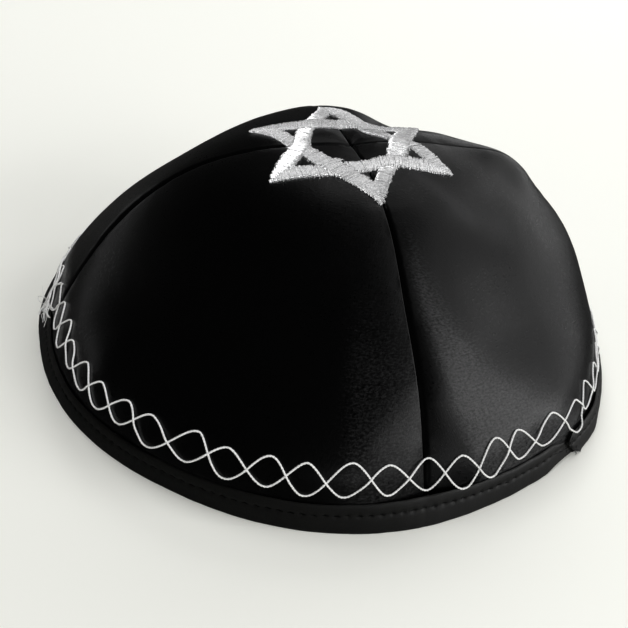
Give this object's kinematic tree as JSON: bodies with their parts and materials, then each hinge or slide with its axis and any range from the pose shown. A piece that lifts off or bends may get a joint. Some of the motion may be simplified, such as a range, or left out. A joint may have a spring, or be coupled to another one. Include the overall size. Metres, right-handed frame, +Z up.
{
  "type": "kippah skullcap",
  "caption": "Black satin kippah: a soft dome of sewn panels with a folded rim binding and an interlaced silver six-pointed star embroidered on the crown.",
  "frame": {"origin": "middle of the rim's bounding box, on the surface it stands on", "axes": "+Z up, -Y towards the front seam, which meets a point of the star, +X towards the right seam"},
  "size_m": [0.1682, 0.1578, 0.0603],
  "materials": {
    "panel_satin": "black polyester satin, soft sheen",
    "binding_satin": "folded black satin binding",
    "silver_thread": "silver-grey rayon satin stitch"
  },
  "bodies": {
    "root": {"panel_front_left": "panel_satin", "panel_front_right": "panel_satin", "panel_back_left": "panel_satin", "panel_back_right": "panel_satin", "rim_band": "binding_satin", "band_end": "binding_satin", "star_embroidery": "silver_thread"}
  },
  "joints": []
}
